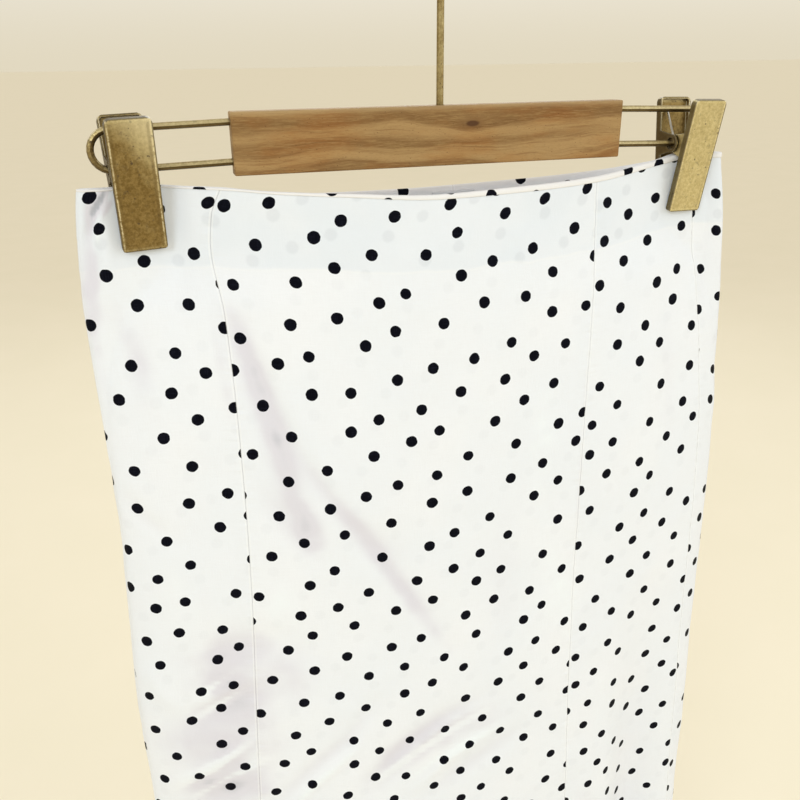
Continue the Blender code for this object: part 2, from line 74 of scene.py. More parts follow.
# Skirt, as in the part's source
GAP = 0.3
WAIST_Z = -17.0
LENGTH = 760.0
KNEE = 500.0
CLOTH = 1.2
FACING_DEPTH = 37.0
FOLD = 3.0
SAG_LENGTH = 300.0
RING_POINTS = 1440
LEVEL_COLUMNS = ("drop", "left", "right", "front", "back", "reach", "power",
                 "seam_left", "seam_right")
LEVELS = np.array([
    (0, -174.0, 171.0, 14, 19, 0.75, 1.10, -110.5, 87.5),
    (12, -175.8, 173.5, 15, 20, 0.75, 1.10, -115.5, 87.5),
    (30, -177.8, 177.0, 17, 24, 0.76, 1.05, -117.5, 87.3),
    (60, -179.0, 181.0, 20, 36, 0.90, 0.85, -114.5, 86.0),
    (110, -179.0, 186.5, 23, 58, 0.98, 0.62, -113.5, 84.0),
    (165, -179.0, 190.5, 26, 80, 1.00, 0.52, -114.0, 82.6),
    (220, -181.5, 192.5, 28, 88, 1.00, 0.48, -115.5, 82.4),
    (300, -185.3, 195.0, 30, 80, 1.00, 0.47, -119.5, 83.2),
    (400, -185.8, 200.5, 33, 68, 1.00, 0.47, -124.0, 86.5),
    (500, -188.0, 207.0, 38, 62, 1.00, 0.48, -128.0, 91.0),
    (570, -196.0, 216.0, 52, 74, 1.00, 0.50, -134.0, 99.0),
    (640, -216.0, 236.0, 78, 100, 1.00, 0.50, -145.0, 114.0),
    (700, -238.0, 258.0, 102, 126, 1.00, 0.50, -156.0, 130.0),
    (760, -262.0, 282.0, 124, 150, 1.00, 0.50, -166.0, 147.0),
], float)
WAIST_COLUMNS = ("x", "front", "back")
WAIST = np.array([
    (-140, 0.8, 0.8), (-106, 3.3, 5.0), (-86, 5.6, 9.2), (-52, 8.4, 12.4), (-4, 11.8, 13.8),
    (50, 10.9, 12.4), (86, 9.2, 9.8), (125, 3.6, 4.6), (140, 0.8, 0.8),
], float)
# Middle as a share of the way round, drop where it starts, depth at the knee and at the hem,
# and half width as a share
FLUTES = np.array([
    (0.020, 430, 3, 36, 0.040),
    (0.095, 450, 2, 31, 0.036),
    (0.170, 400, 4, 38, 0.040),
    (0.252, 440, 2, 33, 0.040),
    (0.334, 410, 4, 36, 0.040),
    (0.425, 260, 17, 42, 0.044),
    (0.508, 430, 3, 33, 0.038),
    (0.588, 380, 6, 38, 0.040),
    (0.672, 430, 3, 34, 0.040),
    (0.757, 330, 9, 40, 0.042),
    (0.842, 440, 2, 34, 0.040),
    (0.930, 360, 7, 38, 0.042),
], float)
FLUTE_FULL = 44.0         # depth that counts as full shade
SIDE_LEFT = -0.019
SIDE_RIGHT = 0.468
CENTRE_BACK = 0.7245
CLIP_X = {"left": -148.9, "right": 146.8}
CLIP_TWIST = {"left": math.radians(7.0), "right": math.radians(5.0)}
TWIST_HALF = (11.0, 26.0)
TWIST_DROPS = (34.0, 90.0)

# Cloth as drawn here
SHEET = 0.45              # thickness of the shell
EDGE = 0.02               # how far a piece stops short of its seam
ROWS = {"front": 3.0, "back": 4.5}    # drop from one row of points to the next
HEM_TURN = 12.0           # cloth turned up inside the hem
HEM_DOUBLED = 0.5         # how much thicker it is there
CURL = 1.0                # how far from a seam the edge turns inwards
CURL_DEPTH = 0.26
# How far the cloth sinks, and over what distance: at the waist seam, at the hem's fold and at
# its stitches
WAIST_ROLL = (0.12, 1.2)
HEM_FOLD = (0.5, 1.1)
HEM_STITCH = (0.22, 0.7)
WAIST_ROWS = (0.0, 0.25, 0.8, 1.8)    # drops next to the waist seam
STITCH_ROWS = (-1.5, -0.6, 0.0, 0.6, 1.5)    # from the hem's stitching
LAST_ROWS = (8, 5, 2.4, 1.0, 0.3, 0)    # above the hem's edge
EDGE_STEPS = (0.0, 0.1, 0.3, 0.6, 1.0, 2.2, 4.2)    # columns next to a seam
DOT_PITCH = 23.2          # lattice of the scattered dots
DOT_RADIUS = 3.1
DOT_SCATTER = 0.42

# Cloth pieces: first and last seam, columns between, and how the cut lies on the print:
# shift across and down in millimetres, and turn in degrees
PANELS = {
    "front_side_left": ("side_left", "princess_left", 50, (31.0, 7.0, 12.0)),
    "front_centre": ("princess_left", "princess_right", 108, (0.0, 0.0, 14.0)),
    "front_side_right": ("princess_right", "side_right", 52, (57.0, 83.0, 15.0)),
    "back_side_right": ("side_right", "back_right", 36, (91.0, 45.0, 11.0)),
    "back_centre_right": ("back_right", "centre_back", 38, (13.0, 61.0, 13.0)),
    "back_centre_left": ("centre_back", "back_left", 38, (71.0, 29.0, 194.0)),
    "back_side_left": ("back_left", "side_left_again", 36, (5.0, 97.0, 16.0)),
}
FACINGS = {
    "facing_front": ("side_left", "side_right", 120, (23.0, 11.0, 14.0)),
    "facing_back_right": ("side_right", "centre_back", 72, (64.0, 35.0, 192.0)),
    "facing_back_left": ("centre_back", "side_left_again", 72, (12.0, 76.0, 14.0)),
}


class Graph:
    """Short ways to add nodes to a material or a world."""

    def __init__(self, owner):
        owner.use_nodes = True
        self.tree = owner.node_tree
        self.shader = self.tree.nodes.get("Principled BSDF")

    def node(self, kind, inputs=None, out=0, **settings):
        made = self.tree.nodes.new("ShaderNode" + kind)
        for key, value in settings.items():
            setattr(made, key, value)
        for key, value in (inputs or {}).items():
            self.put(made.inputs[key], value)
        return made.outputs[out]

    def put(self, socket, value):
        if isinstance(value, bpy.types.NodeSocket):
            self.tree.links.new(value, socket)
        else:
            socket.default_value = value

    def math(self, operation, *values, clamp=False):
        return self.node("Math", dict(enumerate(values)), operation=operation, use_clamp=clamp)

    def plus(self, first, second):
        return self.math("ADD", first, second)

    def minus(self, first, second):
        return self.math("SUBTRACT", first, second)

    def times(self, first, second):
        return self.math("MULTIPLY", first, second)

    def linear(self, value, slope, start):
        return self.math("MULTIPLY_ADD", value, slope, start)

    def far_from(self, value, middle):
        return self.math("ABSOLUTE", self.minus(value, middle))

    def vector(self, operation, *values, out=0):
        return self.node("VectorMath", dict(enumerate(values)), out=out, operation=operation)

    def dot(self, first, second):
        return self.vector("DOT_PRODUCT", first, second, out=1)

    def parts(self, vector):
        return self.node("SeparateXYZ", {0: vector}).node.outputs

    def mix(self, share, first, second):
        return self.node("Mix", {0: share, 6: first, 7: second}, out=2, data_type="RGBA")

    def coat(self, under, share, *colour):
        return self.mix(share, under, rgb(*colour))

    def ramp(self, value, low, high, to_low=0.0, to_high=1.0):
        inputs = {0: value, 1: low, 2: high, 3: to_low, 4: to_high}
        return self.node("MapRange", inputs, interpolation_type="SMOOTHSTEP")

    def noise(self, place, scale, detail=2.0, roughness=0.5):
        inputs = {"Vector": place, "Scale": scale, "Detail": detail, "Roughness": roughness}
        return self.node("TexNoise", inputs, out="Fac")

    def scaled(self, place, scale, shift=(0, 0, 0), turn=(0, 0, 0)):
        inputs = {"Vector": place, "Location": shift, "Rotation": turn, "Scale": scale}
        return self.node("Mapping", inputs)

    def bump(self, height, distance, strength=1.0, under=None):
        inputs = {"Height": height, "Distance": distance, "Strength": strength}
        if under is not None:
            inputs["Normal"] = under
        return self.node("Bump", inputs)

    def set(self, **sockets):
        for key, value in sockets.items():
            self.put(self.shader.inputs[key.replace("_", " ")], value)


def rgb(*colour):
    return (*colour, 1.0)


def dots(graph, lattice, radius, shift=(0.0, 0.0), soft=0.13):
    """1 on the scattered dots of the print, from lattice coordinates."""
    place = graph.vector("ADD", lattice, (*shift, 0.0))
    inputs = {"Vector": place, "Scale": 1.0, "Randomness": DOT_SCATTER}
    found = graph.node("TexVoronoi", inputs, voronoi_dimensions="2D").node
    away = graph.vector("SUBTRACT", place, found.outputs["Position"])
    along, up = graph.parts(away)[:2]
    across = graph.linear(up, 0.5, along)
    rise = graph.times(up, math.sin(math.radians(60)))
    distance = graph.math("SQRT", graph.plus(graph.times(across, across), graph.times(rise, rise)))
    millimetres = graph.times(distance, DOT_PITCH)
    wobble = graph.minus(graph.noise(lattice, 9.0, 1.0), 0.5)
    size = graph.node("SeparateColor", {0: found.outputs["Color"]})
    grown = graph.linear(graph.minus(size, 0.5), 0.35, radius)
    edge = graph.linear(wobble, 0.55, millimetres)
    return graph.ramp(graph.minus(edge, grown), soft, -soft)


def cloth_material(name, facing=False, wrong_side=False):
    """The printed cloth. It is cooler, and shows faint dots, where the facing lies behind it."""
    made = bpy.data.materials.new(name)
    graph = Graph(made)
    flat = graph.node("UVMap", uv_map="cut")
    lattice = graph.node("UVMap", uv_map="print")
    edges = graph.node("UVMap", uv_map="edges")
    to_seam, drop = graph.parts(edges)[:2]

    slub_across = graph.noise(graph.scaled(flat, (120, 1500, 1)), 1.0, 2.0, 0.6)
    slub_down = graph.noise(graph.scaled(flat, (1700, 110, 1)), 1.0, 2.0, 0.6)
    crepe = graph.noise(graph.scaled(flat, (900, 900, 1)), 1.0, 3.0, 0.65)
    cloudy = graph.noise(graph.scaled(flat, (14, 11, 1)), 1.0, 3.0, 0.55)
    threads = graph.plus(graph.times(slub_across, 0.5), graph.times(slub_down, 0.5))

    painted_shading = graph.node("Attribute", out="Fac", attribute_name="shade")
    if facing:
        # The facing is painted: a darker white on its turned edge, as painted shade, and a brighter
        # white further in, as painted light coming through the cloth
        whites = rgb(0.96, 0.945, 0.945), rgb(0.855, 0.845, 0.850)
        plain = graph.mix(graph.ramp(drop, 0.009, 0.005), *whites)
    else:
        whites = rgb(0.838, 0.872, 0.932), rgb(0.872, 0.892, 0.940)
        plain = graph.mix(graph.ramp(cloudy, 0.35, 0.7), *whites)
        plain = graph.coat(plain, graph.ramp(threads, 0.35, 0.68, 0.0, 0.4), 0.82, 0.835, 0.88)
        end = FACING_DEPTH * MM
        wander = graph.linear(graph.minus(graph.noise(flat, 45.0), 0.5), 0.005, drop)
        band = graph.ramp(wander, end + 0.0018, end - 0.0026)
        patchy = graph.ramp(graph.noise(flat, 22.0, 3.0), 0.38, 0.62, 0.35, 0.75)
        plain = graph.coat(plain, graph.times(band, patchy), 0.765, 0.815, 0.885)
        ridge = graph.ramp(graph.far_from(wander, end), 0.0012, 0.0)
        plain = graph.coat(plain, graph.times(ridge, 0.2), 0.93, 0.93, 0.93)
        ghosts = dots(graph, lattice, DOT_RADIUS, (0.37, 0.71), 0.9)
        faint = graph.linear(band, 0.065, 0.03)
        plain = graph.coat(plain, graph.times(ghosts, faint), 0.18, 0.20, 0.26)
    # Painted shade from the shade attribute: lilac in creases and flute valleys, greyer where
    # deepest, and below zero a painted highlight on ridges
    plain = graph.coat(plain, graph.ramp(painted_shading, 0.03, 0.9), 0.735, 0.725, 0.80)
    plain = graph.coat(plain, graph.ramp(painted_shading, 0.95, 2.0), 0.46, 0.475, 0.535)
    plain = graph.coat(plain, graph.ramp(painted_shading, -0.05, -1.0, 0.0, 0.8), 0.88, 0.93, 0.97)
    # Painted highlight along each side of a seam
    beside = graph.ramp(graph.far_from(to_seam, 0.0007), 0.0006, 0.0001)
    plain = graph.coat(plain, graph.times(beside, 0.4), 0.93, 0.945, 0.96)
    dotted = dots(graph, lattice, DOT_RADIUS)
    if wrong_side:
        ink = rgb(0.16, 0.165, 0.19)
    else:
        inks = rgb(0.0012, 0.0014, 0.005), rgb(0.007, 0.008, 0.017)
        ink = graph.mix(graph.ramp(threads, 0.45, 0.72), *inks)
    colour = graph.mix(dotted, plain, ink)
    # Painted shade in the groove of a seam
    seam = graph.ramp(to_seam, 0.00035, 0.0)
    colour = graph.coat(colour, graph.times(seam, 0.3), 0.55, 0.53, 0.50)

    pucker_wave = graph.noise(graph.scaled(flat, (25, 260, 1)), 1.0, 1.0)
    pucker = graph.times(pucker_wave, graph.ramp(to_seam, 0.009, 0.0005))
    fine = graph.plus(threads, graph.times(crepe, 0.7))
    weave = graph.bump(fine, 0.00016, 0.55)
    normal = graph.bump(pucker, 0.0011, 0.6, weave)
    graph.set(Base_Color=colour, Normal=normal, Sheen_Weight=0.01, Sheen_Roughness=0.5)
    graph.set(Roughness=graph.ramp(crepe, 0.3, 0.7, 0.50, 0.66))
    graph.set(Specular_IOR_Level=0.05)
    return made


def wood_material():
    """Light brown wood with wavy grain along the bar, one small knot and dark pores."""
    made = bpy.data.materials.new("wood")
    graph = Graph(made)
    place = graph.node("TexCoord", out="Object")
    knot = (0.0160, -0.0045, -0.1045)
    away = graph.vector("MULTIPLY", graph.vector("SUBTRACT", place, knot), (0.75, 0.3, 1.9))
    from_knot = graph.vector("LENGTH", away, out=1)
    near = graph.ramp(from_knot, 0.017, 0.001)
    bend = graph.noise(graph.scaled(place, (13, 20, 34), (3, 0, 0)), 1.0, 2.0, 0.5)
    x, y, z = graph.parts(place)
    height = graph.linear(near, 0.0035, graph.linear(bend, 0.017, z))
    rings = graph.node("CombineXYZ", {0: graph.times(x, 0.03), 1: graph.times(y, 0.5), 2: height})
    broad = graph.noise(rings, 130.0, 2.0, 0.55)
    lines = graph.noise(rings, 520.0, 3.0, 0.65)
    fibres = graph.noise(graph.scaled(place, (130, 1900, 1900)), 1.0, 3.0, 0.75)
    flecks = graph.noise(graph.scaled(place, (420, 900, 2600)), 1.0, 2.0, 0.7)
    warm = graph.noise(graph.scaled(place, (22, 30, 60)), 1.0, 3.0, 0.6)
    redder = graph.ramp(warm, 0.4, 0.65)
    light_wood = graph.mix(redder, rgb(0.405, 0.252, 0.104), rgb(0.385, 0.212, 0.076))
    dark_wood = graph.mix(redder, rgb(0.220, 0.118, 0.040), rgb(0.245, 0.105, 0.028))
    base = graph.mix(graph.ramp(broad, 0.36, 0.62), dark_wood, light_wood)
    base = graph.coat(base, graph.ramp(lines, 0.50, 0.66, 0.0, 0.5), 0.165, 0.072, 0.020)
    base = graph.coat(base, graph.ramp(fibres, 0.42, 0.72, 0.0, 0.4), 0.47, 0.31, 0.125)
    base = graph.coat(base, graph.ramp(flecks, 0.52, 0.75, 0.0, 0.4), 0.16, 0.075, 0.025)
    dark = graph.ramp(from_knot, 0.0034, 0.0018)
    base = graph.coat(base, graph.times(dark, 0.95), 0.055, 0.021, 0.008)
    stain = graph.ramp(from_knot, 0.0075, 0.002)
    base = graph.coat(base, graph.times(stain, 0.3), 0.16, 0.07, 0.022)
    stretched = graph.scaled(place, (260, 300, 420))
    specks = graph.node("TexVoronoi", {"Vector": stretched, "Scale": 1.0})
    pores = graph.ramp(specks, 0.12, 0.05)
    base = graph.coat(base, graph.times(pores, 0.6), 0.09, 0.038, 0.015)
    # The bar's top face is painted lighter: a painted highlight
    top = graph.ramp(z, -0.0985, -0.0958)
    base = graph.coat(base, graph.times(top, 0.45), 0.50, 0.36, 0.19)
    grain = graph.plus(graph.times(lines, 0.5), graph.plus(fibres, flecks))
    graph.set(Base_Color=base, Roughness=graph.ramp(fibres, 0.3, 0.7, 0.48, 0.66))
    graph.set(Normal=graph.bump(grain, 0.00028, 0.55))
    graph.set(Specular_IOR_Level=0.2)
    return made


SAME_WAY = 0.999          # faces of a plate's flat, by their normals and their height in metres
SAME_HEIGHT = 0.0002


def plate_face(node):
    """Middle of a clip plate's outer face, its directions across and up, and its half sizes."""
    mesh = node.data
    widest = max(mesh.polygons, key=lambda face: face.area)
    height = widest.normal.dot(widest.center)
    flat = [face for face in mesh.polygons if face.normal.dot(widest.normal) > SAME_WAY
            and abs(face.center.dot(widest.normal) - height) < SAME_HEIGHT]
    corners = sorted({v for face in flat for v in face.vertices})
    places = np.unique(np.round([mesh.vertices[v].co for v in corners], 6), axis=0)
    up = np.linalg.svd(places - places.mean(axis=0))[2][0]
    up *= math.copysign(1.0, up[2])
    across = np.cross(up, widest.normal)
    ranges = [(places @ axis).min() + (places @ axis).max() for axis in (across, up)]
    middle = (across * ranges[0] + up * ranges[1]) / 2 + np.array(widest.normal) * height
    halves = [np.ptp(places @ axis) / 2 for axis in (across, up)]
    return [tuple(float(v) for v in way) for way in (middle, across, up, widest.normal)], halves


def brass_material(name, age_and_reflection, uneven, painted_gleam=None, wire=False, plate=None, rim=0.0):
    """Antique brass: brown where tarnished, brighter where rubbed, with dark spots. A place and a
    direction may be given, along which a painted highlight takes over. On a plate, the rim's long
    sides get a painted highlight in places with a line of painted shade inside it, a dark line runs
    round it, and its side walls are painted darker as painted shade."""
    made = bpy.data.materials.new(name)
    graph = Graph(made)
    place = graph.node("TexCoord", out="Object")
    patch = graph.noise(place, 85.0, 4.0, 0.65)
    fine = graph.noise(place, 1500.0, 3.0, 0.8)
    grain = graph.noise(place, 620.0, 3.0, 0.75)
    lighter = graph.ramp(grain, 0.32, 0.68)
    brown = graph.mix(lighter, rgb(0.180, 0.115, 0.036), rgb(0.305, 0.208, 0.074))
    bright = graph.mix(lighter, rgb(0.60, 0.495, 0.24), rgb(0.76, 0.655, 0.36))
    facet = graph.node("NewGeometry", out="Normal")
    wide = graph.dot(graph.node("Bevel", {"Radius": 0.003}, samples=6), facet)
    rubbed = graph.ramp(wide, 1.0, 0.96, 0.0, 0.3)
    age_and_highlight = graph.minus(graph.linear(graph.minus(patch, 0.5), uneven, age_and_reflection), rubbed)
    if painted_gleam:
        # Painted highlight: the brass brightens along the given direction
        along = graph.dot(graph.vector("SUBTRACT", place, painted_gleam[0]), painted_gleam[1])
        age_and_highlight = graph.minus(age_and_highlight, graph.ramp(along, -0.006, 0.028, -0.05, 1.0))
    if wire:
        # On the wires, a painted highlight runs along their upper sides
        facing_up = graph.parts(facet)[2]
        shine = graph.ramp(graph.far_from(facing_up, 0.62), 0.30, 0.10)
        age_and_highlight = graph.linear(shine, -1.1, graph.plus(age_and_highlight, 0.15))
    age_and_highlight = graph.math("ADD", age_and_highlight, 0.0, clamp=True)
    base = graph.mix(age_and_highlight, bright, brown)
    normal = graph.node("Bevel", {"Radius": 0.0007}, samples=6)
    if wire:
        base = graph.coat(base, graph.times(shine, 0.6), 0.86, 0.78, 0.56)
        # Painted shade on the wires' undersides
        under = graph.ramp(facing_up, 0.15, -0.45, 0.0, 0.8)
        base = graph.coat(base, under, 0.060, 0.036, 0.014)
    else:
        # Rounded edges turn bright: wear, with a painted highlight
        turned = graph.ramp(graph.dot(normal, facet), 0.998, 0.93)
        worn_and_highlit = graph.times(turned, graph.ramp(fine, 0.25, 0.5, 0.25, 1.0))
        base = graph.coat(base, graph.times(worn_and_highlit, 0.9), 0.93, 0.84, 0.60)
    if painted_gleam:
        # The painted highlight gets a pale coat on top
        base = graph.coat(base, graph.ramp(along, 0.002, 0.026, 0.0, 0.6), 0.86, 0.79, 0.58)
    if plate:
        (middle, across, up, out), halves = plate
        # The side walls of a plate are painted darker: painted shade
        aside = graph.math("ABSOLUTE", graph.dot(facet, out))
        walls = graph.ramp(aside, 0.85, 0.45, 0.0, 0.8 * rim)
        base = graph.coat(base, walls, 0.085, 0.055, 0.022)
        inwards = []
        for axis, half in ((across, halves[0]), (up, halves[1])):
            off = graph.dot(graph.vector("SUBTRACT", place, middle), axis)
            inwards.append(graph.minus(half, graph.math("ABSOLUTE", off)))
        nearest = graph.math("MINIMUM", *inwards)
        inside = graph.linear(graph.minus(fine, 0.5), 0.0007, nearest)
        by_side = graph.ramp(graph.minus(inwards[1], inwards[0]), -0.0004, 0.0004, 0.15, 1.0)
        # A line of painted shade just inside the rim
        brown_line = graph.ramp(graph.far_from(inside, 0.0022), 0.0011, 0.0002, 0.0, 0.4 * rim)
        base = graph.coat(base, graph.times(brown_line, by_side), 0.10, 0.062, 0.024)
        # A broken line of painted highlight on the rim's long sides
        bright_line = graph.ramp(graph.far_from(inside, 0.0010), 0.00045, 0.0001, 0.0, rim)
        grainy = graph.ramp(grain, 0.36, 0.56, 0.1, 1.0)
        broken = graph.times(grainy, graph.ramp(patch, 0.38, 0.56, 0.35, 1.0))
        broken = graph.times(broken, by_side)
        base = graph.coat(base, graph.times(bright_line, broken), 0.90, 0.81, 0.56)
        outline = graph.ramp(inside, 0.0007, 0.0003, 0.0, 0.72)
        base = graph.coat(base, outline, 0.060, 0.040, 0.016)
    spots = graph.node("TexVoronoi", {"Vector": place, "Scale": 480.0})
    size = graph.ramp(graph.noise(place, 210.0, 3.0), 0.52, 0.72, 0.0, 0.34)
    spot = graph.math("LESS_THAN", spots, size)
    grime = graph.ramp(graph.noise(place, 410.0, 4.0, 0.8), 0.57, 0.70)
    dirty = graph.math("MAXIMUM", spot, graph.times(grime, 0.7))
    base = graph.coat(base, graph.times(dirty, 0.7), 0.065, 0.036, 0.014)
    # Painted shade in the brass's hollows, found by ambient occlusion
    open_air = graph.node("AmbientOcclusion", {"Distance": 0.0025}, out="AO", samples=6)
    hollow = graph.minus(1.0, open_air)
    base = graph.coat(base, graph.ramp(hollow, 0.25, 0.75, 0.0, 0.75), 0.055, 0.030, 0.012)
    rough_here = graph.ramp(fine, 0.25, 0.75, 0.27, 0.42)
    rough_here = graph.linear(dirty, 0.25, graph.linear(age_and_highlight, 0.12, rough_here))
    metal = graph.linear(dirty, -0.6, 1.0)
    bumps = graph.linear(dirty, -0.5, graph.plus(graph.times(fine, 0.5), grain))
    graph.set(Base_Color=base, Roughness=rough_here, Metallic=metal)
    graph.set(Normal=graph.bump(bumps, 0.00012, 0.5, normal))
    return made


def steel_material():
    made = bpy.data.materials.new("bright_steel")
    graph = Graph(made)
    place = graph.node("TexCoord", out="Object")
    fine = graph.noise(place, 1100.0, 3.0, 0.7)
    patch = graph.noise(place, 120.0, 3.0, 0.6)
    base = graph.mix(graph.ramp(patch, 0.35, 0.7), rgb(0.66, 0.65, 0.62), rgb(0.50, 0.48, 0.44))
    graph.set(Base_Color=base, Metallic=1.0, Roughness=graph.ramp(fine, 0.3, 0.7, 0.24, 0.4))
    graph.set(Normal=graph.bump(fine, 0.00005, 0.4))
    return made


def tape_material():
    made = bpy.data.materials.new("zip_tape")
    graph = Graph(made)
    flat = graph.node("UVMap", uv_map="cut")
    ribs = graph.noise(graph.scaled(flat, (200, 2600, 1)), 1.0, 1.0)
    twill = graph.noise(graph.scaled(flat, (1500, 1500, 1), turn=(0, 0, 0.8)), 1.0, 2.0)
    whites = rgb(0.80, 0.80, 0.815), rgb(0.70, 0.70, 0.72)
    base = graph.mix(graph.ramp(ribs, 0.35, 0.65), *whites)
    height = graph.plus(ribs, twill)
    graph.set(Base_Color=base, Roughness=0.8, Normal=graph.bump(height, 0.0002, 0.6))
    return made


def curve(at, places, values):
    """A smooth curve through a table's values that never overshoots them."""
    at = np.clip(at, places[0], places[-1])
    rise = np.diff(values) / np.diff(places)
    before, after = rise[:-1], rise[1:]
    same_way = before * after > 0
    inner = np.where(same_way, 2 * before * after / np.where(same_way, before + after, 1.0), 0.0)
    slopes = np.concatenate([rise[:1], inner, rise[-1:]])
    index = np.clip(np.searchsorted(places, at, side="right") - 1, 0, len(places) - 2)
    width = places[index + 1] - places[index]
    t = (at - places[index]) / width
    ends = values[index] * (1 + 2 * t) * (1 - t) ** 2 + values[index + 1] * t**2 * (3 - 2 * t)
    return ends + width * (slopes[index] * t * (1 - t) ** 2 - slopes[index + 1] * t**2 * (1 - t))


def level(drop, column):
    return curve(max(drop, 0.0), LEVELS[:, 0], LEVELS[:, LEVEL_COLUMNS.index(column)])


def waist_sag(x, back, drop):
    sags = [curve(x, WAIST[:, 0], WAIST[:, WAIST_COLUMNS.index(side)]) for side in ("back", "front")]
    return np.where(back, *sags) * math.exp(-max(drop, 0.0) / SAG_LENGTH)


def ease(value, first, last):
    """0 up to first, 1 from last on, and smooth between."""
    t = np.clip((value - first) / (last - first), 0.0, 1.0)
    return t * t * (3 - 2 * t)


def clip_twist(x, drop):
    """How far back the cloth is turned by the clips that hold it."""
    moved = np.zeros_like(x)
    for side, clip_x in CLIP_X.items():
        away = x - clip_x
        moved += away * math.tan(CLIP_TWIST[side]) * (1 - ease(np.abs(away), *TWIST_HALF))
    return moved * (1 - ease(drop, *TWIST_DROPS))


def flute_depth(share, drop):
    """How far the flutes draw the cloth in, at shares of the way round."""
    drawn = np.zeros_like(share)
    for middle, start, knee, hem, half_width in FLUTES:
        depth = curve(drop, np.array([start, KNEE, LENGTH]), np.array([0.0, knee, hem]))
        away = np.abs((share - middle + 0.5) % 1.0 - 0.5) / half_width
        drawn += depth * np.where(away < 1, np.cos(away * math.pi / 2) ** 2, 0.0)
    return drawn


@functools.lru_cache(maxsize=None)
def ring(drop):
    """The cloth's outer face at one drop: shares of the way round, the plain x there, the points,
    and millimetres per share, front and back."""
    row = {column: level(drop, column) for column in LEVEL_COLUMNS}
    angle = np.linspace(0, 2 * math.pi, RING_POINTS + 1)
    across = -np.cos(angle)
    back = angle > math.pi
    half = (row["right"] - row["left"]) / 2
    x = (row["right"] + row["left"]) / 2 + half * across
    from_fold = half * (1 - np.abs(across))
    edge = FOLD * np.sqrt(1 - np.clip(1 - from_fold / FOLD, 0, 1) ** 2)
    bulge = np.clip(1 - (across / row["reach"]) ** 2, 0, None) ** row["power"]
    y = np.where(back, 1, -1) * (edge + np.where(back, row["back"], row["front"]) * bulge)

    run = np.concatenate([[0], np.cumsum(np.hypot(np.diff(x), np.diff(y)))])
    front_run = run[RING_POINTS // 2]
    back_run = run[-1] - front_run
    share = np.where(back, 0.5 + 0.5 * (run - front_run) / back_run, 0.5 * run / front_run)

    along = np.gradient(np.stack([x, y]), axis=1)
    along /= np.linalg.norm(along, axis=0)
    drawn = flute_depth(share, drop)
    points = np.stack([
        x - along[1] * drawn,
        y + along[0] * drawn + clip_twist(x, drop),
        WAIST_Z - drop - waist_sag(x, back, drop),
    ], axis=1)
    points[-1] = points[0]
    return share, x, points, (2 * front_run, 2 * back_run)


def point(drop, shares):
    share, _, points, _ = ring(float(drop))
    turned = np.mod(shares, 1.0)
    return np.stack([np.interp(turned, share, points[:, axis]) for axis in range(3)], axis=-1)


def normal(drop, shares):
    """Unit vectors out of the cloth."""
    along = point(drop, shares + 0.001) - point(drop, shares - 0.001)
    down = point(drop + 1.0, shares) - point(drop - 1.0, shares)
    out = np.cross(down, along)
    return out / np.linalg.norm(out, axis=-1, keepdims=True)


def line(drop, name):
    """Share of the way round where a named line crosses this drop."""
    share, x, _, _ = ring(float(drop))
    front = slice(0, RING_POINTS // 2 + 1)
    princess = [np.interp(level(drop, side), x[front], share[front])
                for side in ("seam_left", "seam_right")]
    half_centre = (princess[1] - princess[0]) / 2
    return {
        "side_left": SIDE_LEFT,
        "princess_left": princess[0],
        "princess_right": princess[1],
        "side_right": SIDE_RIGHT,
        "back_right": CENTRE_BACK - half_centre,
        "centre_back": CENTRE_BACK,
        "back_left": CENTRE_BACK + half_centre,
        "side_left_again": SIDE_LEFT + 1.0,
    }[name]


